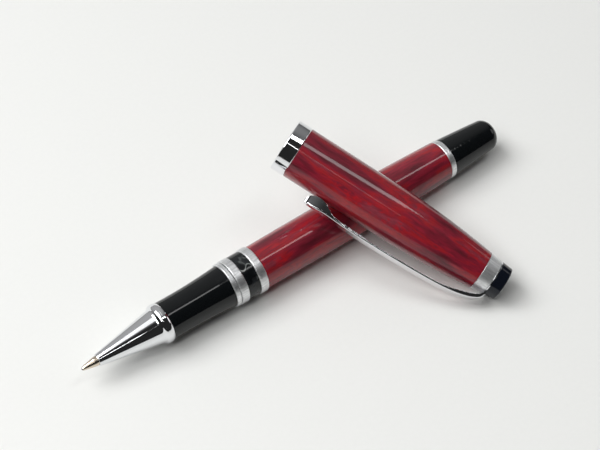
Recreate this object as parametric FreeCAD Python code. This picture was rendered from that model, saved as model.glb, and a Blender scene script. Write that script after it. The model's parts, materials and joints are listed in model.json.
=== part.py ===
import FreeCAD, Part
import math
import os

os.makedirs("parts", exist_ok=True)

# Rollerball pen lying on a table with its cap laid across the barrel.
# All sizes are in millimetres. The table is z = 0 and the pen lies along X, tail towards +X.
# Pen pieces are drawn about their own axis, with x = 0 at the front end of the red barrel.
# Cap pieces are drawn about the cap's axis, with x = 0 at the open lip.

# ---- where the pen and the cap lie ----
PEN_X = -12.325         # front end of the red barrel
PEN_Y = 10.8            # pen axis
PEN_AXIS_HEIGHT = 5.84  # the widest ring touches the table
CAP_LIP_X = 6.415       # centre of the cap's lip, seen from above
CAP_LIP_Y = 24.7
CAP_HEADING = -62.36    # direction of the cap axis in plan, degrees from +X
CLIP_TURN = 19.0        # the clip points this many degrees below horizontal
CONTACT_GAP = 0.03      # between the cap and the barrel it lies on

# ---- refill ----
BALL_R = 0.35
BALL_X = -47.5
SOCKET_R = 0.37
SOCKET_LIP_X = -47.63
POINT_R = 1.15
SOCKET_LIP_WALL = 0.06
POINT_NECK = (0.35, 0.56)  # behind the ball's centre, radius
POINT_TAPER_X = -44.3
POINT_REAR_X = -35.0
INK_CHANNEL_R = 0.25
NOSE_PROFILE = ((-39.0, 1.5), (-38.6, 1.65), (-31.3, 2.85), (-31.0, 3.05))
NOSE_BORE_R = 0.8
REFILL_R = 3.05
REFILL_BORE_R = 2.75
REFILL_SHOULDER_X = -30.6
REFILL_SPIGOT_X = -26.0
REFILL_END_X = 62.8
RESERVOIR_R = 2.7
RESERVOIR_BORE_R = 0.3
RESERVOIR_SOFT = 0.3
RESERVOIR_X = (-24.0, 58.0)
PLUG_X = (60.0, 61.2)   # front end, and where its flange begins
PLUG_SOFT = 0.3
PLUG_DIMPLE_R = (0.9, 1.2)
PLUG_DIMPLE_DEPTH = 0.6

# ---- nose cone and grip section ----
CONE_TIP_X = -43.7
CONE_HOLE_R = 1.2
CONE_TIP_R = 1.5
CONE_ROOT_X = -28.7
CONE_ROOT_R = 4.2
CONE_FLARE = (-28.15, 4.33)
CONE_BORE = ((-31.0, 3.15), (-39.4, 1.75), (-39.6, 1.2))
BEAD_X = (-27.8, -25.6)
BEAD_FOOT_R = (4.6, 4.72)
BEAD_CREST = (-26.75, 5.0)
BEAD_SHOULDERS = ((-27.35, 4.92), (-26.0, 4.93))
REFILL_CLEAR_R = 3.15   # bore the refill slides in
SPIGOT_R = 4.0
SPIGOT_STEP_R = 3.6
SPIGOT_STEP_X = -19.6
SPIGOT_END_X = -15.6
GRIP_X = (-25.6, -8.82)
GRIP_WAIST_X = -22.0
GRIP_WAIST_R = 4.72
GRIP_FLARE = 320.0      # the waist widens by (distance squared) / this
SECTION_RING_X = (-8.82, -7.6)
SECTION_RING_R = 5.62

# ---- thread between section and barrel ----
THREAD_X = (-7.0, -1.6)
THREAD_PITCH = 1.0
THREAD_CREST_R = 4.25
THREAD_CORE_R = 3.65
THREAD_NECK_R = 3.6
THREAD_RUNOUT = 0.3
BUSH_END_X = -1.2
BUSH_GAP = 0.1          # between the bush and the nose cone's spigot
THREAD_CLEARANCE = 0.05
THREAD_ROOTED = 0.1      # how far the ridge reaches into the core
THREAD_FOOT = 0.84       # width of the ridge at its foot, as a share of the pitch
THREAD_FLAT = 0.16       # the same at its crest

# ---- barrel ----
INSERT_X = (-7.49, 12.0)
INSERT_R = 4.75
INSERT_STEP_X = -0.9
INSERT_BORE_R = 3.4
JOINT_RING_X = (-7.49, -5.4)
JOINT_RING_R = 5.73
BAND_X = (-5.4, -2.16)
BAND_R = 5.6
FRONT_RING_X = (-2.16, 0.0)
FRONT_RING_R = PEN_AXIS_HEIGHT
BARREL_LENGTH = 55.84
BARREL_BELLY_X = 20.0
BARREL_BELLY_R = 5.7
BARREL_TAPER = 2210.0   # the belly narrows by (distance squared) / this
BARREL_BORE_R = 4.3
REAR_RING_X = (55.84, 57.44)
REAR_RING_R = 5.05
TAIL_PROFILE = ((57.44, 4.98), (64.3, 4.51), (70.3, 4.03))
TAIL_DOME = (71.75, 3.2)
TAIL_END_X = 72.5
TAIL_FLAT_R = 1.6
TAIL_BUSH_X = (46.0, 62.0)
TAIL_BUSH_R = 4.0
TAIL_BUSH_BORE_R = 3.3
TAIL_BORE_END_X = 69.6
SPRING_X = (63.1, 68.2)
SPRING_R = 2.1
SPRING_WIRE_R = 0.2
SPRING_TURNS = 5
SPRING_WIRE_SIDES = 12
SEAT_X = (68.5, 69.6)
SEAT_POST_R = 1.5
SEAT_POST_X = 66.6
SEAT_POST_SOFT = 0.3

# ---- cap ----
LIP_RING_X = (0.0, 3.6)
LIP_RING_R = 6.55
CAP_R = 6.5
CAP_BORE_R = 6.05
CAP_TAPER_X = 28.0
CAP_TAPER = 424.0       # the cap narrows by (distance squared) / this
CAP_TUBE_END_X = 54.7
LINER_X = (2.1, 28.0)
LINER_BORE_R = 5.66
LINER_WALL = 0.39
LINER_END_X = 43.5
LINER_FLOOR = 1.0
LINER_CHAMFER = 0.2
LINER_GAP = 0.05        # left between liner and tube where both narrow
TOP_RING_X = (54.7, 57.9)
TOP_RING_R = (4.81, 4.43)
END_PLUG_X = 49.6
SCREW_R = 1.5
SCREW_HEAD_R = 2.8
SCREW_X = (46.8, 60.0)
SCREW_HEAD_X = 49.55
SCREW_HEAD_SOFT = 0.3
CLIP_RING_X = (57.9, 58.3)
CLIP_RING_R = 4.35
FINIAL_X = (58.3, 61.0)
FINIAL_R = (4.43, 4.2)
FINIAL_SOFT = 0.35

# ---- clip: heights are distances from the cap axis ----
CLIP_HINGE = (57.9, 5.15)
CLIP_KNUCKLE_R = 0.42
CLIP_SOCKET_R = 0.46
CLIP_WIDTH = 3.4
CLIP_TONGUE_WIDTH = 3.0
CLIP_TONGUE_DEPTH = 2.0
CLIP_BACK_SOFT = 0.38
CLIP_BELLY_SOFT = 0.1
CLIP_TIP_X = 10.8
CLIP_SIDE = ((11.7, 0.8), (14.0, 1.1), (18.0, 1.4), (22.0, 1.58), (27.0, 1.68), (33.0, 1.7),
             (45.0, 1.7), (60.0, 1.7))      # half the clip's width along its length
CLIP_BACK = ((10.8, 8.7), (11.1, 9.2), (11.8, 9.45), (15.0, 9.45), (20.0, 9.6), (27.0, 9.78),
             (35.0, 9.65), (43.5, 9.31), (49.3, 8.84), (53.9, 7.98), (56.8, 6.85), (57.9, 6.0),
             (58.32, 5.15))
CLIP_BELLY = ((57.48, 5.15), (56.9, 5.6), (55.7, 6.2), (53.0, 7.18), (48.5, 8.3), (43.0, 8.8),
              (35.0, 9.1), (28.0, 9.2), (20.5, 8.9), (18.4, 8.6), (17.2, 7.95), (15.9, 7.15),
              (14.8, 6.72), (13.7, 6.56), (12.6, 6.72), (11.6, 7.3), (10.8, 8.7))
CLIP_EDGE_SPLIT = 9.3   # long edges above this height are on the back, the others on the belly

EDGE = 0.15             # softening of ordinary turned edges
RING_EDGE = 0.3         # of the wide chrome rings
NARROW_RING_EDGE = 0.25
FINE_EDGE = 0.1         # of lacquered tubes and other thin pieces
CROSSING_X = 26.0       # where the cap lies across the barrel


# ---------------------------------------------------------------- drawing helpers

def vec(x, r):
    """A point at distance r from the X axis, in the plane y = 0."""
    return FreeCAD.Vector(x, 0, r)


def line(a, b):
    return Part.LineSegment(vec(*a), vec(*b)).toShape()


def arc(a, middle, b):
    return Part.Arc(vec(*a), vec(*middle), vec(*b)).toShape()


def spline(points):
    curve = Part.BSplineCurve()
    curve.interpolate([vec(*p) for p in points])
    return curve.toShape()


def corner(a, sharp, b):
    """A quarter-round edge from a to b that softens the corner at sharp."""
    pull = 1 - math.sqrt(0.5)
    middle_x = sharp[0] + pull * ((a[0] - sharp[0]) + (b[0] - sharp[0]))
    middle_r = sharp[1] + pull * ((a[1] - sharp[1]) + (b[1] - sharp[1]))
    return arc(a, (middle_x, middle_r), b)


def lines(*points):
    return [line(a, b) for a, b in zip(points, points[1:])]


def turned(edges):
    """A solid of revolution about the X axis from a closed loop of edges."""
    loop = Part.Wire(Part.__sortEdges__(edges))
    solid = Part.Face(loop).revolve(FreeCAD.Vector(0, 0, 0), FreeCAD.Vector(1, 0, 0), 360)
    return solid if solid.Volume > 0 else solid.reversed()


def collar(span, bore, radius, soft=EDGE):
    """A turned ring with both outer edges rounded."""
    front, rear = span
    edges = lines((rear, radius - soft), (rear, bore), (front, bore), (front, radius - soft))
    edges.append(corner((front, radius - soft), (front, radius), (front + soft, radius)))
    edges.append(line((front + soft, radius), (rear - soft, radius)))
    edges.append(corner((rear - soft, radius), (rear, radius), (rear, radius - soft)))
    return turned(edges)


def helix_sweep(profile, start, length, pitch, radius):
    """Sweeps a closed loop, drawn in the plane y = 0 about the Z axis, up a right-hand helix."""
    path = Part.Wire(Part.makeHelix(pitch, length, radius))
    solid = path.makePipeShell([profile], True, True)
    solid.rotate(FreeCAD.Vector(0, 0, 0), FreeCAD.Vector(0, 1, 0), 90)
    solid.translate(FreeCAD.Vector(start, 0, 0))
    return solid


# ---------------------------------------------------------------- shared curves

def barrel_radius(x):
    return BARREL_BELLY_R - (x - BARREL_BELLY_X) ** 2 / BARREL_TAPER


def grip_radius(x):
    return GRIP_WAIST_R + (x - GRIP_WAIST_X) ** 2 / GRIP_FLARE


def cap_narrowing(x):
    return max(0.0, x - CAP_TAPER_X) ** 2 / CAP_TAPER


def cap_radius(x):
    return CAP_R - cap_narrowing(x)


def cap_bore(x):
    return CAP_BORE_R - cap_narrowing(x)


# ---------------------------------------------------------------- refill

def refill_ball():
    return Part.makeSphere(BALL_R, FreeCAD.Vector(BALL_X, 0, 0))


def refill_point():
    """Metal writing point: a taper with a socket that holds the ball, on a straight shank."""
    lip_bore = math.sqrt(SOCKET_R ** 2 - (SOCKET_LIP_X - BALL_X) ** 2)
    lip_r = lip_bore + SOCKET_LIP_WALL
    neck_back, neck_r = POINT_NECK
    throat_x = BALL_X + math.sqrt(SOCKET_R ** 2 - INK_CHANNEL_R ** 2)
    socket = arc((SOCKET_LIP_X, lip_bore), (BALL_X, SOCKET_R), (throat_x, INK_CHANNEL_R))
    edges = [socket]
    edges += lines((throat_x, INK_CHANNEL_R), (POINT_REAR_X, INK_CHANNEL_R),
                   (POINT_REAR_X, POINT_R), (POINT_TAPER_X, POINT_R),
                   (BALL_X + neck_back, neck_r), (SOCKET_LIP_X, lip_r),
                   (SOCKET_LIP_X, lip_bore))
    return turned(edges)


def refill_nose():
    """Tapered plastic holder for the point, with a spigot that plugs into the refill tube."""
    front = (NOSE_PROFILE[0][0], POINT_R)
    return turned(lines(front, *NOSE_PROFILE, (REFILL_SHOULDER_X, REFILL_R),
                        (REFILL_SHOULDER_X, REFILL_BORE_R), (REFILL_SPIGOT_X, REFILL_BORE_R),
                        (REFILL_SPIGOT_X, NOSE_BORE_R), (POINT_REAR_X, NOSE_BORE_R),
                        (POINT_REAR_X, POINT_R), front))


def refill_tube():
    return collar((REFILL_SHOULDER_X, PLUG_X[1]), REFILL_BORE_R, REFILL_R, FINE_EDGE / 2)


def refill_reservoir():
    """Ink-soaked fibre rod inside the refill tube."""
    return collar(RESERVOIR_X, RESERVOIR_BORE_R, RESERVOIR_R, RESERVOIR_SOFT)


def refill_plug():
    """End plug of the refill, with a flange outside the tube and a dimple for the spring."""
    front, flange = PLUG_X
    shoulder = (REFILL_END_X - PLUG_SOFT, REFILL_R)
    rim = (REFILL_END_X, REFILL_R - PLUG_SOFT)
    floor_r, mouth_r = PLUG_DIMPLE_R
    floor_x = REFILL_END_X - PLUG_DIMPLE_DEPTH
    edges = lines((front, 0), (front, REFILL_BORE_R), (flange, REFILL_BORE_R),
                  (flange, REFILL_R), shoulder)
    edges.append(corner(shoulder, (REFILL_END_X, REFILL_R), rim))
    edges += lines(rim, (REFILL_END_X, mouth_r), (floor_x, floor_r), (floor_x, 0), (front, 0))
    return turned(edges)


# ---------------------------------------------------------------- nose cone and section

def nose_cone():
    """Polished cone with a rounded bead at its root and a spigot that fits in the section."""
    bead_front = (BEAD_X[0], BEAD_FOOT_R[0])
    bead_rear = (BEAD_X[1], BEAD_FOOT_R[1])
    tip = (CONE_TIP_X, CONE_TIP_R - EDGE)
    shoulder = (CONE_TIP_X + EDGE, CONE_TIP_R)
    root = (CONE_ROOT_X, CONE_ROOT_R)
    edges = [corner(tip, (CONE_TIP_X, CONE_TIP_R), shoulder),
             line(shoulder, root),
             arc(root, CONE_FLARE, bead_front),
             arc(bead_front, BEAD_SHOULDERS[0], BEAD_CREST),
             arc(BEAD_CREST, BEAD_SHOULDERS[1], bead_rear)]
    edges += lines(bead_rear, (BEAD_X[1], SPIGOT_R), (SPIGOT_STEP_X, SPIGOT_R),
                   (SPIGOT_STEP_X, SPIGOT_STEP_R), (SPIGOT_END_X, SPIGOT_STEP_R),
                   (SPIGOT_END_X, REFILL_CLEAR_R), *CONE_BORE, (CONE_TIP_X, CONE_HOLE_R), tip)
    return turned(edges)


def grip_section():
    """Waisted finger grip."""
    front, rear = GRIP_X
    middle = (front + rear) / 2
    front_r = grip_radius(front)
    rear_r = grip_radius(rear)
    edges = [corner((front, front_r - EDGE), (front, front_r), (front + EDGE, front_r)),
             arc((front + EDGE, front_r), (middle, grip_radius(middle)), (rear - EDGE, rear_r)),
             corner((rear - EDGE, rear_r), (rear, rear_r), (rear, rear_r - EDGE))]
    edges += lines((rear, rear_r - EDGE), (rear, SPIGOT_R), (front, SPIGOT_R),
                   (front, front_r - EDGE))
    return turned(edges)


def section_ring():
    return collar(SECTION_RING_X, SPIGOT_R, SECTION_RING_R, NARROW_RING_EDGE)


def thread_ridge():
    """One continuous right-hand ridge with a flat crest."""
    foot = THREAD_CORE_R - THREAD_ROOTED
    half_foot = THREAD_FOOT * THREAD_PITCH / 2
    half_crest = THREAD_FLAT * THREAD_PITCH / 2
    corners = [(foot, -half_foot), (THREAD_CREST_R, -half_crest),
               (THREAD_CREST_R, half_crest), (foot, half_foot), (foot, -half_foot)]
    loop = Part.makePolygon([FreeCAD.Vector(r, 0, z) for r, z in corners])
    start, end = THREAD_X
    return helix_sweep(loop, start, end - start, THREAD_PITCH, THREAD_CREST_R)


def section_bush():
    """Brass bush fixed in the section; its rear half carries the thread for the barrel."""
    front = SPIGOT_STEP_X + BUSH_GAP
    step = SPIGOT_END_X + BUSH_GAP
    neck = SECTION_RING_X[1]
    thread = THREAD_X[0] - THREAD_RUNOUT
    body = turned(lines((front, SPIGOT_STEP_R), (front, SPIGOT_R), (neck, SPIGOT_R),
                        (neck, THREAD_NECK_R), (thread, THREAD_NECK_R), (thread, THREAD_CORE_R),
                        (BUSH_END_X - THREAD_RUNOUT, THREAD_CORE_R),
                        (BUSH_END_X, THREAD_CORE_R - THREAD_RUNOUT), (BUSH_END_X, REFILL_CLEAR_R),
                        (step, REFILL_CLEAR_R), (step, SPIGOT_STEP_R), (front, SPIGOT_STEP_R)))
    return body.fuse(thread_ridge()).removeSplitter()


# ---------------------------------------------------------------- barrel

def barrel_insert():
    """Brass sleeve in the front of the barrel; it takes the section's thread."""
    front, rear = INSERT_X
    bore = THREAD_CREST_R + THREAD_CLEARANCE
    return turned(lines((front, bore), (front, INSERT_R), (rear, INSERT_R),
                        (rear, INSERT_BORE_R), (INSERT_STEP_X, INSERT_BORE_R),
                        (INSERT_STEP_X, bore), (front, bore)))


def joint_ring():
    return collar(JOINT_RING_X, INSERT_R, JOINT_RING_R, NARROW_RING_EDGE)


def marbled_band():
    return collar(BAND_X, INSERT_R, BAND_R, FINE_EDGE)


def barrel_front_ring():
    return collar(FRONT_RING_X, INSERT_R, FRONT_RING_R, RING_EDGE)


def barrel_tube():
    """Lacquered tube with a slight belly."""
    end = BARREL_LENGTH
    step = INSERT_X[1]
    front_shoulder = (FINE_EDGE, barrel_radius(FINE_EDGE))
    rear_shoulder = (end - FINE_EDGE, barrel_radius(end - FINE_EDGE))
    edges = [arc(front_shoulder, (end / 2, barrel_radius(end / 2)), rear_shoulder)]
    edges += lines(rear_shoulder, (end, barrel_radius(end) - FINE_EDGE), (end, BARREL_BORE_R),
                   (step, BARREL_BORE_R), (step, INSERT_R), (0, INSERT_R),
                   (0, barrel_radius(0) - FINE_EDGE), front_shoulder)
    return turned(edges)


def barrel_rear_ring():
    return collar(REAR_RING_X, BARREL_BORE_R, REAR_RING_R, RING_EDGE)


def tail_bush():
    """Sleeve that joins the tail to the barrel, stepped down where it enters the tail."""
    front, rear = TAIL_BUSH_X
    shoulder = REAR_RING_X[1]
    return turned(lines((front, TAIL_BUSH_BORE_R), (front, BARREL_BORE_R),
                        (shoulder, BARREL_BORE_R), (shoulder, TAIL_BUSH_R), (rear, TAIL_BUSH_R),
                        (rear, TAIL_BUSH_BORE_R), (front, TAIL_BUSH_BORE_R)))


def tail_cap():
    """Tapered tail with a rounded end, hollow for the refill spring."""
    start, middle, shoulder = TAIL_PROFILE
    bush_end = TAIL_BUSH_X[1] + BUSH_GAP
    edges = [arc(start, middle, shoulder)]
    edges.append(arc(shoulder, TAIL_DOME, (TAIL_END_X, TAIL_FLAT_R)))
    edges += lines((TAIL_END_X, TAIL_FLAT_R), (TAIL_END_X, 0), (TAIL_BORE_END_X, 0),
                   (TAIL_BORE_END_X, TAIL_BUSH_BORE_R),
                   (bush_end, TAIL_BUSH_BORE_R), (bush_end, TAIL_BUSH_R),
                   (start[0], TAIL_BUSH_R), start)
    return turned(edges)


def refill_spring():
    """Compression spring that holds the refill forward."""
    corners = []
    for side in range(SPRING_WIRE_SIDES + 1):
        turn = 2 * math.pi * side / SPRING_WIRE_SIDES
        corners.append(FreeCAD.Vector(SPRING_R + SPRING_WIRE_R * math.cos(turn), 0,
                                      SPRING_WIRE_R * math.sin(turn)))
    start, end = SPRING_X
    wire = Part.makePolygon(corners)
    return helix_sweep(wire, start, end - start, (end - start) / SPRING_TURNS, SPRING_R)


def spring_seat():
    front, rear = SEAT_X
    post_end = SEAT_POST_R - SEAT_POST_SOFT
    return turned(lines((SEAT_POST_X, 0), (SEAT_POST_X, post_end),
                        (SEAT_POST_X + SEAT_POST_SOFT, SEAT_POST_R), (front, SEAT_POST_R),
                        (front, TAIL_BUSH_BORE_R), (rear, TAIL_BUSH_BORE_R), (rear, 0),
                        (SEAT_POST_X, 0)))


# ---------------------------------------------------------------- cap

def cap_lip_ring():
    return collar(LIP_RING_X, CAP_BORE_R, LIP_RING_R, RING_EDGE)


def cap_tube():
    """Lacquered tube, straight from the lip and then narrowing to the top ring."""
    front = LIP_RING_X[1]
    end = CAP_TUBE_END_X
    middle = (CAP_TAPER_X + end) / 2
    edges = lines((CAP_TAPER_X, CAP_BORE_R), (front, CAP_BORE_R), (front, CAP_R - FINE_EDGE),
                  (front + FINE_EDGE, CAP_R), (CAP_TAPER_X, CAP_R))
    edges.append(arc((CAP_TAPER_X, CAP_R), (middle, cap_radius(middle)), (end, cap_radius(end))))
    edges.append(line((end, cap_radius(end)), (end, cap_bore(end))))
    edges.append(arc((end, cap_bore(end)), (middle, cap_bore(middle)), (CAP_TAPER_X, CAP_BORE_R)))
    return turned(edges)


def cap_liner():
    """Inner cap that slides over the section: a chamfered mouth, and a closed end past the nose."""
    front, rear = LINER_X
    inner_end = LINER_END_X - LINER_FLOOR
    outer_middle = (rear + LINER_END_X) / 2
    inner_middle = (rear + inner_end) / 2
    shoulder = (LINER_END_X, cap_bore(LINER_END_X) - LINER_GAP)
    edges = lines(shoulder, (LINER_END_X, 0), (inner_end, 0),
                  (inner_end, cap_bore(inner_end) - LINER_WALL))
    edges.append(arc((inner_end, cap_bore(inner_end) - LINER_WALL),
                     (inner_middle, cap_bore(inner_middle) - LINER_WALL), (rear, LINER_BORE_R)))
    edges += lines((rear, LINER_BORE_R), (front + LINER_CHAMFER, LINER_BORE_R),
                   (front, LINER_BORE_R + LINER_CHAMFER), (front, CAP_BORE_R), (rear, CAP_BORE_R))
    edges.append(arc((rear, CAP_BORE_R), (outer_middle, cap_bore(outer_middle) - LINER_GAP),
                     shoulder))
    return turned(edges)


def cap_end_plug():
    """Threaded block fixed in the narrow end of the cap tube."""
    end = CAP_TUBE_END_X
    middle = (END_PLUG_X + end) / 2
    edges = [arc((END_PLUG_X, cap_bore(END_PLUG_X)), (middle, cap_bore(middle)),
                 (end, cap_bore(end)))]
    edges += lines((end, cap_bore(end)), (end, SCREW_R), (END_PLUG_X, SCREW_R),
                   (END_PLUG_X, cap_bore(END_PLUG_X)))
    return turned(edges)


def cap_top_ring():
    front, rear = TOP_RING_X
    front_r, rear_r = TOP_RING_R
    slope = (rear_r - front_r) / (rear - front)
    front_shoulder = (front + EDGE, front_r + EDGE * slope)
    rear_shoulder = (rear - EDGE, rear_r - EDGE * slope)
    edges = [corner((front, front_r - EDGE), (front, front_r), front_shoulder),
             line(front_shoulder, rear_shoulder),
             corner(rear_shoulder, (rear, rear_r), (rear, rear_r - EDGE))]
    edges += lines((rear, rear_r - EDGE), (rear, SCREW_R), (front, SCREW_R),
                   (front, front_r - EDGE))
    return turned(edges)


def clip_socket(radius):
    """Round bar along the clip's bending line, across the clip."""
    hinge_x, hinge_height = CLIP_HINGE
    base = FreeCAD.Vector(hinge_x, -CLIP_WIDTH, hinge_height)
    return Part.makeCylinder(radius, 2 * CLIP_WIDTH, base, FreeCAD.Vector(0, 1, 0))


def clip_ring():
    """Washer clamped under the finial, with a tongue that carries the clip."""
    front, rear = CLIP_RING_X
    washer = collar(CLIP_RING_X, SCREW_R, CLIP_RING_R, FINE_EDGE)
    tongue = Part.makeBox(rear - front, CLIP_TONGUE_WIDTH, CLIP_TONGUE_DEPTH)
    tongue.translate(FreeCAD.Vector(front, -CLIP_TONGUE_WIDTH / 2,
                                    CLIP_HINGE[1] - CLIP_TONGUE_DEPTH))
    joined = washer.fuse(tongue).removeSplitter()
    return joined.cut(clip_socket(CLIP_SOCKET_R))


def clip_outline():
    """The clip seen from its side, from its free end to the knuckle at its root."""
    hinge_x, hinge_height = CLIP_HINGE
    under = (hinge_x, hinge_height - CLIP_KNUCKLE_R)
    edges = [spline(CLIP_BACK), arc(CLIP_BACK[-1], under, CLIP_BELLY[0]), spline(CLIP_BELLY)]
    return Part.Face(Part.Wire(Part.__sortEdges__(edges)))


def clip_side(sign):
    """One long side of the clip seen from above."""
    curve = Part.BSplineCurve()
    curve.interpolate([FreeCAD.Vector(x, sign * half, 0) for x, half in CLIP_SIDE])
    return curve.toShape()


def clip_plan():
    """The clip seen from above: it narrows towards a rounded free end."""
    start_x, start_half = CLIP_SIDE[0]
    end_x, end_half = CLIP_SIDE[-1]
    low = FreeCAD.Vector(start_x, -start_half, 0)
    high = FreeCAD.Vector(start_x, start_half, 0)
    tip = FreeCAD.Vector(CLIP_TIP_X - CONTACT_GAP, 0, 0)
    root = Part.makeLine(FreeCAD.Vector(end_x, -end_half, 0), FreeCAD.Vector(end_x, end_half, 0))
    outline = [Part.Arc(low, tip, high).toShape(), clip_side(1), root, clip_side(-1)]
    face = Part.Face(Part.Wire(Part.__sortEdges__(outline)))
    return face.extrude(FreeCAD.Vector(0, 0, 2 * CAP_R))


def clip():
    """Sprung clip: a slim bar with a bump under its free end and a knuckle at its root."""
    side_view = clip_outline()
    side_view.translate(FreeCAD.Vector(0, -CLIP_WIDTH, 0))
    bar = side_view.extrude(FreeCAD.Vector(0, 2 * CLIP_WIDTH, 0)).common(clip_plan())
    bar = soften(bar, CLIP_BACK_SOFT, is_back_edge)
    return soften(bar, CLIP_BELLY_SOFT, is_belly_edge)


def soften(solid, radius, chosen):
    """Rounds the edges for which chosen is true."""
    return solid.makeFillet(radius, [edge for edge in solid.Edges if chosen(edge)])


def is_long(edge):
    return edge.BoundBox.XLength > CLIP_RING_X[0] / 2


def middle_height(edge):
    return edge.valueAt((edge.FirstParameter + edge.LastParameter) / 2).z


def is_back_edge(edge):
    """True for the two long edges along the outer side of the clip."""
    return is_long(edge) and middle_height(edge) > CLIP_EDGE_SPLIT


def is_belly_edge(edge):
    """True for the two long edges along the side nearest the cap."""
    return is_long(edge) and middle_height(edge) < CLIP_EDGE_SPLIT


def finial():
    """Solid end piece of the cap, rounded at its outer edge, on the cap's screw."""
    front, rear = FINIAL_X
    front_r, rear_r = FINIAL_R
    shoulder = (rear - FINIAL_SOFT, rear_r)
    rim = (rear, rear_r - FINIAL_SOFT)
    edges = [line((front, front_r), shoulder), corner(shoulder, (rear, rear_r), rim)]
    edges += lines(rim, (rear, 0), (SCREW_X[1], 0), (SCREW_X[1], SCREW_R), (front, SCREW_R),
                   (front, front_r))
    return turned(edges)


def cap_screw():
    """Screw through the end plug, top ring and clip ring into the finial."""
    start, end = SCREW_X
    return turned(lines((start, 0), (start, SCREW_HEAD_R - SCREW_HEAD_SOFT),
                        (start + SCREW_HEAD_SOFT, SCREW_HEAD_R),
                        (SCREW_HEAD_X, SCREW_HEAD_R), (SCREW_HEAD_X, SCREW_R), (end, SCREW_R),
                        (end, 0), (start, 0)))


# ---------------------------------------------------------------- placing

def lip_height(tilt):
    """Height of the lip's centre when the finial's rounded edge touches the table."""
    run = FINIAL_X[1] - FINIAL_SOFT
    reach = FINIAL_R[1] - FINIAL_SOFT
    return run * math.sin(tilt) + reach * math.cos(tilt) + FINIAL_SOFT


def cap_direction(tilt):
    heading = math.radians(CAP_HEADING)
    return FreeCAD.Vector(math.cos(tilt) * math.cos(heading), math.cos(tilt) * math.sin(heading),
                          -math.sin(tilt))


def cap_lift(tilt):
    """Gap between the cap and the barrel where they cross; negative when they overlap."""
    across_both = FreeCAD.Vector(1, 0, 0).cross(cap_direction(tilt)).normalize()
    lip = FreeCAD.Vector(0, CAP_LIP_Y - PEN_Y, lip_height(tilt) - PEN_AXIS_HEIGHT)
    return abs(lip.dot(across_both)) - CAP_R - barrel_radius(CROSSING_X)


def cap_tilt():
    """Slope of the cap as it lies on the barrel and the table."""
    low, high = math.radians(10), math.radians(30)
    for _ in range(60):
        middle = (low + high) / 2
        if cap_lift(middle) < CONTACT_GAP:
            low = middle
        else:
            high = middle
    return low


def pen_placement():
    shift = FreeCAD.Matrix()
    shift.move(FreeCAD.Vector(PEN_X, PEN_Y, PEN_AXIS_HEIGHT))
    return shift


def cap_placement():
    """Turns the cap's own axes to where it lies: X along the cap, Z out through the clip."""
    tilt = cap_tilt()
    along = cap_direction(tilt)
    heading = math.radians(CAP_HEADING)
    level = FreeCAD.Vector(math.sin(heading), -math.cos(heading), 0)
    below = level.cross(along)
    turn = math.radians(CLIP_TURN)
    if below.z > 0:
        below = -below
    outward = level * math.cos(turn) + below * math.sin(turn)
    sideways = outward.cross(along)
    lip = FreeCAD.Vector(CAP_LIP_X, CAP_LIP_Y, lip_height(tilt))
    return FreeCAD.Matrix(along.x, sideways.x, outward.x, lip.x,
                          along.y, sideways.y, outward.y, lip.y,
                          along.z, sideways.z, outward.z, lip.z,
                          0, 0, 0, 1)


PEN_PIECES = (refill_ball, refill_point, refill_nose, refill_tube, refill_reservoir, refill_plug,
              nose_cone, grip_section, section_ring, section_bush,
              barrel_insert, joint_ring, marbled_band, barrel_front_ring, barrel_tube,
              barrel_rear_ring, tail_bush, tail_cap, refill_spring, spring_seat)

CAP_PIECES = (cap_lip_ring, cap_tube, cap_liner, cap_end_plug, cap_top_ring, clip_ring, clip,
              finial, cap_screw)


def export(pieces, placement):
    for piece in pieces:
        shape = piece().transformed(placement, True)
        shape.exportStep("parts/" + piece.__name__ + ".step")


export(PEN_PIECES, pen_placement())
export(CAP_PIECES, cap_placement())
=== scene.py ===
import json
import math

import bmesh
import bpy
from mathutils import Matrix, Vector


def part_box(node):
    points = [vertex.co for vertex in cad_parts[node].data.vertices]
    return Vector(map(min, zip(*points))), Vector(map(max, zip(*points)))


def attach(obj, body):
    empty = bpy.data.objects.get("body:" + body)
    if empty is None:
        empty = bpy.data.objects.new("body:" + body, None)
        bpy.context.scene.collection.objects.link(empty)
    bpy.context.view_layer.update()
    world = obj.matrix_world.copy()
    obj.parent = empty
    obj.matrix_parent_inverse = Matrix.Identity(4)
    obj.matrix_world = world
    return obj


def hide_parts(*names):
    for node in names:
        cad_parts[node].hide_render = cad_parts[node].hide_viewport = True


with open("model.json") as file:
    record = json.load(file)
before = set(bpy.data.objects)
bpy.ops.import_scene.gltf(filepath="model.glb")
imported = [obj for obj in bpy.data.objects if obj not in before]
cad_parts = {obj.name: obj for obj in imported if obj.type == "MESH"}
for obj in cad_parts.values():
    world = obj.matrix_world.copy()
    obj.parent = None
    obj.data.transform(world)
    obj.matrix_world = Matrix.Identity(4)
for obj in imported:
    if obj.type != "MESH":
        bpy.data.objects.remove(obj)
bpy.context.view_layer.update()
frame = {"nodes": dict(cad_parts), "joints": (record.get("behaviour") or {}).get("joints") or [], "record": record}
record = frame["record"]
nodes = frame["nodes"]
joints = {j["name"]: j for j in frame["joints"]}
mounts = {m["name"]: m for m in record["mounts"]}
body_of = {node: body for body, members in record["behaviour"]["bodies"].items() for node in members}
scene = bpy.context.scene
MM = 0.001
FULL_TURN = 2 * math.pi

# ---- the pen's own axes: x along the axis, with 0 at the front of the red barrel ----
pen_axis = joints["section_turn"]["pos_m"]
PEN = Matrix.Translation((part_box("barrel_tube")[0].x, pen_axis[1], pen_axis[2]))

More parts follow.
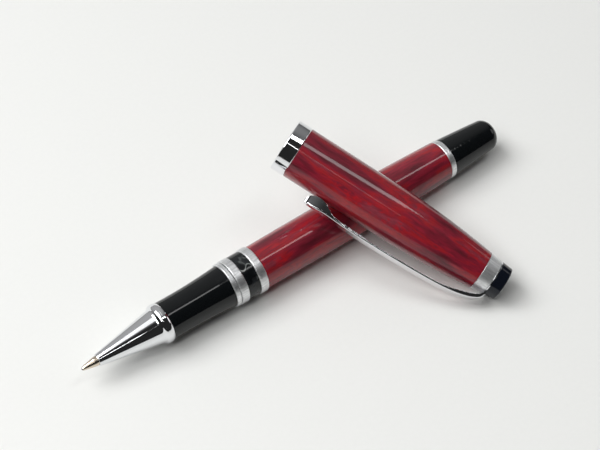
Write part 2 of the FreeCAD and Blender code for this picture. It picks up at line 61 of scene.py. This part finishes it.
# ---- the cap's own axes: x along the cap, with 0 at its lip, and z out through the clip ----
CAP_LENGTH = 61.0 * MM
along = -Vector(mounts["cap_mouth"]["axis"]).normalized()
sideways = Vector(joints["clip_flex"]["axis"]).normalized()
outward = along.cross(sideways)
lip = Vector(mounts["finial_end"]["pos_m"]) - CAP_LENGTH * along
CAP = Matrix.Translation(lip) @ Matrix((along, sideways, outward)).transposed().to_4x4()


# ---------------------------------------------------------------- turned pieces

TURN_STEPS = 192            # faces round a turned piece
CUT_ANGLE = 0.3             # the half plane in which an outline is read off, in radians
KEY_DIGITS = 8              # decimals that tell one corner of a mesh from another, in metres
AXIS_DIGITS = 6             # the same for points on the axis
FLATNESS = 0.0005 * MM      # points nearer than this to a straight run are left out
SUPPORT = 0.06 * MM         # a long run gets an extra point this far from a short neighbour
LONG = 4                    # a run is long when it is this many times its neighbour, or SUPPORT
SHARP = math.radians(35)    # edges that bend more than this are shaded sharp
TINY = 1e-6


def crossing(a, b):
    """Where the line from a to b passes the cutting plane, as (x, radius); below 0 on the far side."""
    side_a = a.z * math.cos(CUT_ANGLE) - a.y * math.sin(CUT_ANGLE)
    side_b = b.z * math.cos(CUT_ANGLE) - b.y * math.sin(CUT_ANGLE)
    if side_a * side_b >= 0:
        return None
    share = side_a / (side_a - side_b)
    point = a.lerp(b, share)
    reach = point.y * math.cos(CUT_ANGLE) + point.z * math.sin(CUT_ANGLE)
    if reach > 0 and abs(a.x - b.x) > TINY:
        radius_a, radius_b = math.hypot(a.y, a.z), math.hypot(b.y, b.z)
        reach = radius_a + share * (radius_b - radius_a)
    return point.x, reach


def outline(name, home):
    """A turned node's outline in its own half plane, as (x, radius) points, and whether it is closed."""
    mesh = nodes[name].data
    inside = home.inverted()
    places = [inside @ v.co for v in mesh.vertices]
    keys = [tuple(round(c, KEY_DIGITS) for c in v.co) for v in mesh.vertices]
    links, points = {}, {}
    mesh.calc_loop_triangles()
    for triangle in mesh.loop_triangles:
        ends = []
        for i, j in ((0, 1), (1, 2), (2, 0)):
            first, second = triangle.vertices[i], triangle.vertices[j]
            point = crossing(places[first], places[second])
            if point:
                key = tuple(sorted((keys[first], keys[second])))
                points[key] = point
                ends.append(key)
        if len(ends) < 2:
            continue
        low, high = sorted(ends, key=lambda k: points[k][1])
        if points[high][1] < 0:
            continue
        if points[low][1] < 0:
            low = ("axis", round(points[high][0], AXIS_DIGITS))
            points[low] = (points[high][0], 0.0)
        links.setdefault(low, []).append(high)
        links.setdefault(high, []).append(low)
    start = next((k for k in links if len(links[k]) == 1), next(iter(links)))
    chain = [start]
    while True:
        onward = [k for k in links[chain[-1]] if k not in chain[-2:]]
        if not onward or onward[0] == start:
            break
        chain.append(onward[0])
    return [points[k] for k in chain], len(links[start]) == 2


def simplified(points):
    """Leaves out the points that lie on straight runs."""
    if len(points) < 3:
        return points
    start, end = Vector(points[0]), Vector(points[-1])
    run = end - start
    worst, place = 0.0, 0
    for i in range(1, len(points) - 1):
        offset = Vector(points[i]) - start
        if run.length > TINY * MM:
            distance = abs(run.x * offset.y - run.y * offset.x) / run.length
        else:
            distance = offset.length
        if distance > worst:
            worst, place = distance, i
    if worst < FLATNESS:
        return [points[0], points[-1]]
    return simplified(points[:place + 1])[:-1] + simplified(points[place:])


def supported(points):
    """Adds points near the ends of long runs, so that smooth shading stays true along them."""
    lengths = [(Vector(b) - Vector(a)).length for a, b in zip(points, points[1:])]
    result = [points[0]]
    for i, length in enumerate(lengths):
        a, b = Vector(points[i]), Vector(points[i + 1])
        step = (b - a) * (SUPPORT / length) if length > LONG * SUPPORT else None
        if step and i > 0 and length > LONG * lengths[i - 1]:
            result.append(tuple(a + step))
        if step and i + 1 < len(lengths) and length > LONG * lengths[i + 1]:
            result.append(tuple(b - step))
        result.append(points[i + 1])
    return result


def turned(name, home, material):
    """A finely turned copy of a node, in place of its coarser CAD mesh."""
    points, closed = outline(name, home)
    points = supported(simplified(points + points[:1] if closed else points))
    if closed:
        points = points[:-1]
    work = bmesh.new()
    rings = []
    for x, radius in points:
        if radius < TINY:
            rings.append([work.verts.new(home @ Vector((x, 0, 0)))] * TURN_STEPS)
            continue
        ring = []
        for step in range(TURN_STEPS):
            turn = FULL_TURN * step / TURN_STEPS
            place = home @ Vector((x, radius * math.sin(turn), radius * math.cos(turn)))
            ring.append(work.verts.new(place))
        rings.append(ring)
    following = rings[1:] + rings[:1] if closed else rings[1:]
    for front, rear in zip(rings, following):
        for step in range(TURN_STEPS):
            after = (step + 1) % TURN_STEPS
            corners = [front[step], front[after], rear[after], rear[step]]
            work.faces.new(list(dict.fromkeys(corners)))
    bmesh.ops.recalc_face_normals(work, faces=work.faces)
    mesh = bpy.data.meshes.new(name + "_turned")
    work.to_mesh(mesh)
    work.free()
    mesh.shade_smooth()
    mesh.set_sharp_from_angle(angle=SHARP)
    mesh.materials.append(material)
    piece = bpy.data.objects.new(name + "_turned", mesh)
    scene.collection.objects.link(piece)
    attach(piece, body_of[name])
    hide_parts(name)


# ---------------------------------------------------------------- node helpers

MIX_FACTOR, MIX_A, MIX_B = 0, 6, 7      # the colour sockets of a Mix node, by number
MIX_RESULT = 2
NEW_STOP = 0.5                          # where a new ramp stop stands until it is placed


def place_stops(ramp, stops):
    """Fills a colour ramp with (position, colour) stops; a single number is a grey."""
    marks = ramp.elements
    while len(marks) < len(stops):
        marks.new(NEW_STOP)
    for mark, (position, colour) in zip(marks, stops):
        mark.position = position
        mark.color = (*colour, 1.0) if isinstance(colour, tuple) else (colour,) * 3 + (1.0,)


class Graph:
    """Builds a material's nodes, in the axes of the pen or the cap (home)."""

    def __init__(self, name, home):
        self.material = bpy.data.materials.new(name)
        self.material.use_nodes = True
        self.tree = self.material.node_tree
        self.tree.nodes.clear()
        self.shader = self.add("ShaderNodeBsdfPrincipled")
        out = self.add("ShaderNodeOutputMaterial")
        self.link(self.shader.outputs["BSDF"], out.inputs["Surface"])
        inside = home.inverted()
        place = self.add("ShaderNodeMapping")
        place.inputs["Rotation"].default_value = inside.to_euler()
        place.inputs["Location"].default_value = inside.translation
        self.link(self.add("ShaderNodeTexCoord").outputs["Object"], place.inputs["Vector"])
        self.local = place.outputs["Vector"]

    def add(self, kind, **settings):
        node = self.tree.nodes.new(kind)
        for key, value in settings.items():
            setattr(node, key, value)
        return node

    def link(self, a, b):
        self.tree.links.new(a, b)

    def put(self, socket, value):
        if isinstance(value, bpy.types.NodeSocket):
            self.link(value, socket)
        else:
            socket.default_value = value

    def stretched(self, scale, offset=(0, 0, 0), source=None):
        """The piece's own coordinates times a scale per axis."""
        node = self.add("ShaderNodeMapping")
        self.link(source or self.local, node.inputs["Vector"])
        node.inputs["Scale"].default_value = scale
        node.inputs["Location"].default_value = offset
        return node.outputs["Vector"]

    def noise(self, vector, scale, detail, roughness=0.5, distortion=0.0):
        node = self.add("ShaderNodeTexNoise")
        self.link(vector, node.inputs["Vector"])
        node.inputs["Scale"].default_value = scale
        node.inputs["Detail"].default_value = detail
        node.inputs["Roughness"].default_value = roughness
        node.inputs["Distortion"].default_value = distortion
        return node.outputs["Fac"]

    def warped(self, scale, reach, offset):
        """The piece's own coordinates, pushed across the axis by a slow noise."""
        node = self.add("ShaderNodeTexNoise")
        self.link(self.stretched(scale, offset), node.inputs["Vector"])
        node.inputs["Scale"].default_value = 1.0
        node.inputs["Detail"].default_value = 2.0
        push = self.add("ShaderNodeVectorMath", operation="MULTIPLY_ADD")
        self.link(node.outputs["Color"], push.inputs[0])
        push.inputs[1].default_value = (0.0, reach, reach)
        self.link(self.local, push.inputs[2])
        return push.outputs["Vector"]

    def ramp(self, value, stops, smooth=False):
        node = self.add("ShaderNodeValToRGB")
        node.color_ramp.interpolation = "EASE" if smooth else "LINEAR"
        place_stops(node.color_ramp, stops)
        self.put(node.inputs["Fac"], value)
        return node.outputs["Color"]

    def mix(self, amount, a, b, blend="MIX"):
        node = self.add("ShaderNodeMix", data_type="RGBA", blend_type=blend)
        self.put(node.inputs[MIX_FACTOR], amount)
        for number, colour in ((MIX_A, a), (MIX_B, b)):
            self.put(node.inputs[number], (*colour, 1.0) if isinstance(colour, tuple) else colour)
        return node.outputs[MIX_RESULT]

    def math(self, operation, a, b=0.0, c=0.0):
        node = self.add("ShaderNodeMath", operation=operation)
        for socket, value in zip(node.inputs, (a, b, c)):
            self.put(socket, value)
        return node.outputs[0]

    def spread(self, value, low, high):
        """A 0 to 1 value moved into the range low to high."""
        node = self.add("ShaderNodeMapRange")
        self.put(node.inputs["Value"], value)
        node.inputs["To Min"].default_value = low
        node.inputs["To Max"].default_value = high
        return node.outputs["Result"]

    def bump(self, height, depth, strength):
        node = self.add("ShaderNodeBump")
        node.inputs["Strength"].default_value = strength
        node.inputs["Distance"].default_value = depth
        self.put(node.inputs["Height"], height)
        self.link(node.outputs["Normal"], self.shader.inputs["Normal"])

    def set(self, **values):
        for name, value in values.items():
            socket = self.shader.inputs[name.replace("_", " ")]
            if isinstance(value, tuple):
                value = (*value, 1.0)
            self.put(socket, value)


# ---------------------------------------------------------------- materials

CHROME = (0.84, 0.85, 0.87)
HAZED_CHROME = (0.70, 0.71, 0.74)
SATIN_CHROME = (0.90, 0.91, 0.92)
SATIN_GRAIN = (0.62, 0.63, 0.64)
BRIGHT_STREAK = (0.42, 0.008, 0.014)
BLACK = (0.003, 0.004, 0.004)
BLUE_BLACK = (0.004, 0.006, 0.012)
HAZED_BLACK = (0.008, 0.009, 0.012)
VEIN_GREY = (0.26, 0.28, 0.27)
INK = (0.006, 0.008, 0.04)
DRY_INK = (0.05, 0.06, 0.16)
NICKEL_SILVER = ((0.78, 0.68, 0.56), (0.62, 0.53, 0.43), 0.18)     # light, dark, roughness
CARBIDE = ((0.42, 0.42, 0.44), (0.30, 0.30, 0.32), 0.12)
BRASS = ((0.80, 0.58, 0.26), (0.60, 0.40, 0.16), 0.30)
SPRING_STEEL = ((0.62, 0.63, 0.65), (0.40, 0.41, 0.43), 0.25)
TUBE_STEEL = ((0.74, 0.75, 0.77), (0.58, 0.59, 0.61), 0.28)
BLACK_PLASTIC = ((0.04, 0.04, 0.045), (0.02, 0.02, 0.022))         # light, dark
LINER_PLASTIC = ((0.03, 0.03, 0.034), (0.015, 0.015, 0.018))
BLACK_SPECULAR = 0.36       # reflections of the black resin, 0.5 being those of glass
PLASTIC_ROUGHNESS = (0.39, 0.51)
STAIN_SPREAD = 0.06         # how much smoother than its roughness a machined metal is in places


def chrome(name, home):
    """Mirror-polished plating with a trace of handling haze."""
    g = Graph(name, home)
    haze = g.noise(g.local, scale=420.0, detail=4.0, roughness=0.6)
    g.set(Metallic=1.0,
          Base_Color=g.mix(g.spread(haze, 0.0, 0.25), CHROME, HAZED_CHROME),
          Roughness=g.spread(haze, 0.03, 0.10))
    g.bump(haze, depth=0.004 * MM, strength=0.2)
    return g.material


def satin_chrome(name, home):
    """Plating with a fine grain brushed along the axis, which spreads the light round the ring."""
    g = Graph(name, home)
    grain = g.noise(g.stretched((300.0, 2400.0, 2400.0)), scale=1.0, detail=4.0, roughness=0.65)
    haze = g.noise(g.local, scale=700.0, detail=4.0, roughness=0.6)
    g.set(Metallic=1.0,
          Base_Color=g.mix(g.ramp(grain, [(0.35, 0.0), (0.7, 1.0)]), SATIN_CHROME, SATIN_GRAIN),
          Roughness=g.math("ADD", g.spread(haze, 0.34, 0.42), g.spread(grain, 0.0, 0.08)))
    g.bump(grain, depth=0.01 * MM, strength=0.35)
    return g.material


def marbled_lacquer(name, home, seed):
    """Deep red pearl resin with streaks that run along the tube, under clear lacquer."""
    g = Graph(name, home)
    offset = (seed, seed * 0.7, seed * 1.3)
    wander = g.warped((90.0, 90.0, 90.0), 1.8 * MM, offset)
    broad = g.noise(g.stretched((45.0, 210.0, 210.0), offset, wander), scale=1.0, detail=2.0)
    streaks = g.noise(g.stretched((75.0, 520.0, 520.0), offset, wander),
                      scale=1.0, detail=4.0, roughness=0.55)
    fibres = g.noise(g.stretched((260.0, 1900.0, 1900.0), offset, wander),
                     scale=1.0, detail=4.0, roughness=0.6)
    mottle = g.noise(g.stretched((620.0, 800.0, 800.0), offset, wander),
                     scale=1.0, detail=4.0, roughness=0.6)
    layers = g.math("MULTIPLY_ADD", streaks, 0.5, g.math("MULTIPLY", broad, 0.5))
    colour = g.ramp(layers, [(0.34, (0.075, 0.006, 0.012)), (0.42, (0.140, 0.008, 0.019)),
                             (0.48, (0.210, 0.010, 0.025)), (0.53, (0.300, 0.010, 0.016)),
                             (0.57, (0.215, 0.013, 0.026)), (0.63, (0.230, 0.030, 0.046))])
    colour = g.mix(0.5, colour, g.ramp(fibres, [(0.32, 0.6), (0.5, 1.0), (0.7, 1.4)]), "MULTIPLY")
    lively = g.math("MULTIPLY", g.ramp(mottle, [(0.50, 0.0), (0.62, 1.0)]),
                    g.ramp(broad, [(0.50, 0.0), (0.60, 0.65)]))
    g.set(Base_Color=g.mix(lively, colour, BRIGHT_STREAK), Roughness=g.spread(streaks, 0.45, 0.32),
          Specular_IOR_Level=0.2, Coat_Weight=1.0, Coat_Roughness=0.04, Coat_IOR=1.4)
    return g.material


def gloss_black(name, home, colour=BLACK):
    """Black resin polished to a gloss, with faint handling haze."""
    g = Graph(name, home)
    haze = g.noise(g.local, scale=260.0, detail=5.0, roughness=0.65)
    lines = g.noise(g.stretched((60.0, 2600.0, 2600.0)), scale=1.0, detail=3.0)
    g.set(Base_Color=g.mix(g.spread(haze, 0.0, 0.5), colour, HAZED_BLACK),
          Roughness=g.math("ADD", g.spread(haze, 0.04, 0.10), g.spread(lines, 0.0, 0.04)),
          Specular_IOR_Level=BLACK_SPECULAR)
    g.bump(haze, depth=0.02 * MM, strength=0.06)
    return g.material


BAND_MIDDLE = -3.8                  # of the marbled band along the pen, in mm
BAND_RADIUS = 5.6                   # in mm
VEIN_TURN = math.radians(-17)       # of the clear vein round the pen, from straight up
VEIN_SWING = 0.55                   # how far the vein swings to each side, in mm
VEIN_LENGTH = 3.0                   # of one full swing along the pen, in mm


def veined_black(name, home):
    """Black resin with one clear S-shaped grey vein among fainter ones."""
    g = Graph(name, home)
    split = g.add("ShaderNodeSeparateXYZ")
    g.link(g.local, split.inputs[0])
    x, y, z = split.outputs
    swing = g.math("SINE", g.math("MULTIPLY_ADD", x, FULL_TURN / (VEIN_LENGTH * MM),
                                  -FULL_TURN * BAND_MIDDLE / VEIN_LENGTH))
    round_the_band = g.math("MULTIPLY_ADD", g.math("ARCTAN2", y, z), BAND_RADIUS,
                            -VEIN_TURN * BAND_RADIUS)
    gap = g.math("ABSOLUTE", g.math("MULTIPLY_ADD", swing, -VEIN_SWING, round_the_band))
    uneven = g.noise(g.local, scale=900.0, detail=3.0)
    clear = g.ramp(g.math("ADD", gap, g.spread(uneven, -0.08, 0.08)),
                   [(0.0, 0.9), (0.09, 0.6), (0.22, 0.0)], smooth=True)
    warp = g.noise(g.stretched((260.0, 170.0, 170.0)), scale=1.0, detail=2.0, distortion=0.6)
    line = g.math("ABSOLUTE", g.math("SUBTRACT", warp, 0.5))
    cloud = g.noise(g.stretched((300.0, 300.0, 300.0), (3.0, 1.0, 2.0)),
                    scale=1.0, detail=4.0, roughness=0.6, distortion=0.5)
    faint = g.math("MULTIPLY", g.ramp(line, [(0.0, 0.35), (0.010, 0.2), (0.03, 0.0)]),
                   g.ramp(cloud, [(0.46, 0.0), (0.6, 1.0)]))
    base = g.ramp(cloud, [(0.42, (0.004, 0.005, 0.006)), (0.72, (0.022, 0.025, 0.028))])
    g.set(Base_Color=g.mix(g.math("MAXIMUM", clear, faint), base, VEIN_GREY),
          Roughness=g.spread(uneven, 0.10, 0.18), Specular_IOR_Level=BLACK_SPECULAR)
    return g.material


def turned_metal(name, home, light, dark, roughness):
    """Machined metal with fine rings round the axis."""
    g = Graph(name, home)
    rings = g.noise(g.stretched((14000.0, 40.0, 40.0)), scale=1.0, detail=3.0)
    stain = g.noise(g.local, scale=600.0, detail=4.0, roughness=0.6)
    g.set(Metallic=1.0,
          Base_Color=g.mix(stain, light, dark),
          Roughness=g.math("ADD", g.spread(rings, 0.0, 0.10),
                           g.spread(stain, roughness - STAIN_SPREAD, roughness)))
    g.bump(rings, depth=0.006 * MM, strength=0.4)
    return g.material


def moulded(name, home, light, dark):
    """Moulded plastic with a fine even grain."""
    g = Graph(name, home)
    grain = g.noise(g.local, scale=5200.0, detail=2.0)
    cloud = g.noise(g.local, scale=240.0, detail=3.0)
    g.set(Base_Color=g.mix(cloud, light, dark), Roughness=g.spread(grain, *PLASTIC_ROUGHNESS))
    g.bump(grain, depth=0.01 * MM, strength=0.3)
    return g.material


def inked_fibre(name, home):
    """Bundle of lengthwise fibres soaked with dark ink."""
    g = Graph(name, home)
    strands = g.noise(g.stretched((120.0, 7000.0, 7000.0)), scale=1.0, detail=3.0)
    wet = g.noise(g.local, scale=180.0, detail=3.0)
    g.set(Base_Color=g.mix(strands, INK, DRY_INK), Roughness=g.spread(wet, 0.55, 0.85))
    g.bump(strands, depth=0.04 * MM, strength=0.5)
    return g.material


# pieces that show and are turned, which get a finely turned mesh of their own
TURNED = {
    "nose_cone": (PEN, chrome("cone_chrome", PEN)),
    "section_ring": (PEN, satin_chrome("section_ring_chrome", PEN)),
    "joint_ring": (PEN, satin_chrome("joint_ring_chrome", PEN)),
    "barrel_front_ring": (PEN, satin_chrome("front_ring_chrome", PEN)),
    "barrel_rear_ring": (PEN, satin_chrome("rear_ring_chrome", PEN)),
    "cap_lip_ring": (CAP, chrome("lip_ring_chrome", CAP)),
    "cap_top_ring": (CAP, satin_chrome("top_ring_chrome", CAP)),
    "barrel_tube": (PEN, marbled_lacquer("barrel_lacquer", PEN, 3.1)),
    "cap_tube": (CAP, marbled_lacquer("cap_lacquer", CAP, 5.2)),
    "marbled_band": (PEN, veined_black("band_resin", PEN)),
    "grip_section": (PEN, gloss_black("grip_resin", PEN)),
    "tail_cap": (PEN, gloss_black("tail_resin", PEN)),
    "finial": (CAP, gloss_black("finial_resin", CAP, BLUE_BLACK)),
    "refill_point": (PEN, turned_metal("nickel_silver", PEN, *NICKEL_SILVER)),
    "cap_liner": (CAP, moulded("liner_plastic", CAP, *LINER_PLASTIC)),
}
for name, (home, material) in TURNED.items():
    turned(name, home, material)

# the other nodes keep their CAD mesh
FINISHES = {
    "clip": chrome("clip_chrome", CAP),
    "clip_ring": chrome("clip_ring_chrome", CAP),
    "refill_ball": turned_metal("carbide", PEN, *CARBIDE),
    "section_bush": turned_metal("bush_brass", PEN, *BRASS),
    "barrel_insert": turned_metal("insert_brass", PEN, *BRASS),
    "tail_bush": turned_metal("tail_bush_brass", PEN, *BRASS),
    "cap_end_plug": turned_metal("plug_brass", CAP, *BRASS),
    "cap_screw": turned_metal("screw_brass", CAP, *BRASS),
    "refill_spring": turned_metal("spring_steel", PEN, *SPRING_STEEL),
    "refill_tube": turned_metal("refill_metal", PEN, *TUBE_STEEL),
    "refill_nose": moulded("refill_nose_plastic", PEN, *BLACK_PLASTIC),
    "refill_plug": moulded("refill_plug_plastic", PEN, *BLACK_PLASTIC),
    "refill_reservoir": inked_fibre("ink_fibre", PEN),
    "spring_seat": moulded("seat_plastic", PEN, *BLACK_PLASTIC),
}
for name, material in FINISHES.items():
    mesh = nodes[name].data
    mesh.materials.clear()
    mesh.materials.append(material)


# ---------------------------------------------------------------- floor, lights, camera

FLOOR_REACH = 1.5
FLOOR_DROP = 0.02 * MM      # the floor lies this far under the pen, so the two never share a face
FLOOR_GREYS = ((0.815, 0.82, 0.80), (0.845, 0.85, 0.83))

ROOM_BRIGHT_SIDE = (0.1, 0.8, 0.59)     # the direction the room is brightest in
ROOM_GREYS = [(0.0, 0.02), (0.70, 0.02), (0.78, 0.20), (0.86, 0.32), (1.0, 0.40)]

VIEW_AZIMUTH = math.radians(-36.0)
VIEW_ELEVATION = math.radians(52.6)
VIEW_DISTANCE = 0.3915
VIEW_TARGET = (0.006365, 0.01865, 0.0)
LENS = 95.7                 # in mm, as is the sensor
SENSOR = 36.0
NEAR_CLIP = 0.01


def floor():
    """Plain pale paper under the pen."""
    mesh = bpy.data.meshes.new("floor")
    corners = [(-FLOOR_REACH, -FLOOR_REACH, 0), (FLOOR_REACH, -FLOOR_REACH, 0),
               (FLOOR_REACH, FLOOR_REACH, 0), (-FLOOR_REACH, FLOOR_REACH, 0)]
    mesh.from_pydata(corners, [], [(0, 1, 2, 3)])
    plane = bpy.data.objects.new("floor", mesh)
    scene.collection.objects.link(plane)
    plane.location.z = -FLOOR_DROP
    g = Graph("floor_paper", Matrix.Identity(4))
    tooth = g.noise(g.local, scale=900.0, detail=4.0, roughness=0.6)
    g.set(Base_Color=g.mix(tooth, *FLOOR_GREYS), Roughness=0.55)
    mesh.materials.append(g.material)


def area_light(name, place, length, width, brightness, lengthwise=(1, 0, 0)):
    """A rectangular light that faces the origin, with its long side along the given direction."""
    data = bpy.data.lights.new(name, "AREA")
    data.shape = "RECTANGLE"
    data.size = length
    data.size_y = width
    data.energy = brightness * length * width * math.pi
    lamp = bpy.data.objects.new(name, data)
    scene.collection.objects.link(lamp)
    back = Vector(place).normalized()
    side = Vector(lengthwise)
    side = (side - back * side.dot(back)).normalized()
    turn = Matrix((side, back.cross(side), back)).transposed().to_4x4()
    lamp.matrix_world = Matrix.Translation(place) @ turn


def studio():
    """A dim room, darker on the viewer's side."""
    world = bpy.data.worlds.new("studio")
    scene.world = world
    world.use_nodes = True
    tree = world.node_tree
    tree.nodes.clear()
    coord = tree.nodes.new("ShaderNodeTexCoord")
    dot = tree.nodes.new("ShaderNodeVectorMath")
    dot.operation = "DOT_PRODUCT"
    dot.inputs[1].default_value = Vector(ROOM_BRIGHT_SIDE).normalized()
    zero_to_one = tree.nodes.new("ShaderNodeMapRange")
    zero_to_one.inputs["From Min"].default_value = -1.0
    greys = tree.nodes.new("ShaderNodeValToRGB")
    place_stops(greys.color_ramp, ROOM_GREYS)
    background = tree.nodes.new("ShaderNodeBackground")
    out = tree.nodes.new("ShaderNodeOutputWorld")
    tree.links.new(coord.outputs["Generated"], dot.inputs[0])
    tree.links.new(dot.outputs["Value"], zero_to_one.inputs["Value"])
    tree.links.new(zero_to_one.outputs["Result"], greys.inputs["Fac"])
    tree.links.new(greys.outputs["Color"], background.inputs["Color"])
    tree.links.new(background.outputs["Background"], out.inputs["Surface"])


def camera():
    """Looks down on the pen from the side of its writing point."""
    level = math.cos(VIEW_ELEVATION)
    back = Vector((math.sin(VIEW_AZIMUTH) * level, -math.cos(VIEW_AZIMUTH) * level,
                   math.sin(VIEW_ELEVATION)))
    data = bpy.data.cameras.new("camera")
    data.lens = LENS
    data.sensor_width = SENSOR
    data.clip_start = NEAR_CLIP
    eye = bpy.data.objects.new("camera", data)
    scene.collection.objects.link(eye)
    eye.location = Vector(VIEW_TARGET) + VIEW_DISTANCE * back
    eye.rotation_euler = (-back).to_track_quat("-Z", "Y").to_euler()
    scene.camera = eye


floor()
studio()
area_light("key", (-0.43, 0.44, 0.80), length=0.6, width=0.6, brightness=5.8)
area_light("fill", (-0.45, -0.10, 0.75), length=0.4, width=0.4, brightness=4.6)
area_light("overhead", (-0.18, 0.24, 0.88), length=0.6, width=0.5, brightness=0.8)
area_light("window", (0.34, -0.17, 0.83), length=0.44, width=0.10, brightness=5.5)
area_light("side", (0.85, -0.20, 0.28), length=0.35, width=0.35, brightness=1.2,
           lengthwise=(0, 1, 0))
area_light("strip", (-0.20, -0.42, 0.80), length=0.2, width=0.02, brightness=5.0,
           lengthwise=along)
camera()
scene.view_settings.view_transform = "Standard"
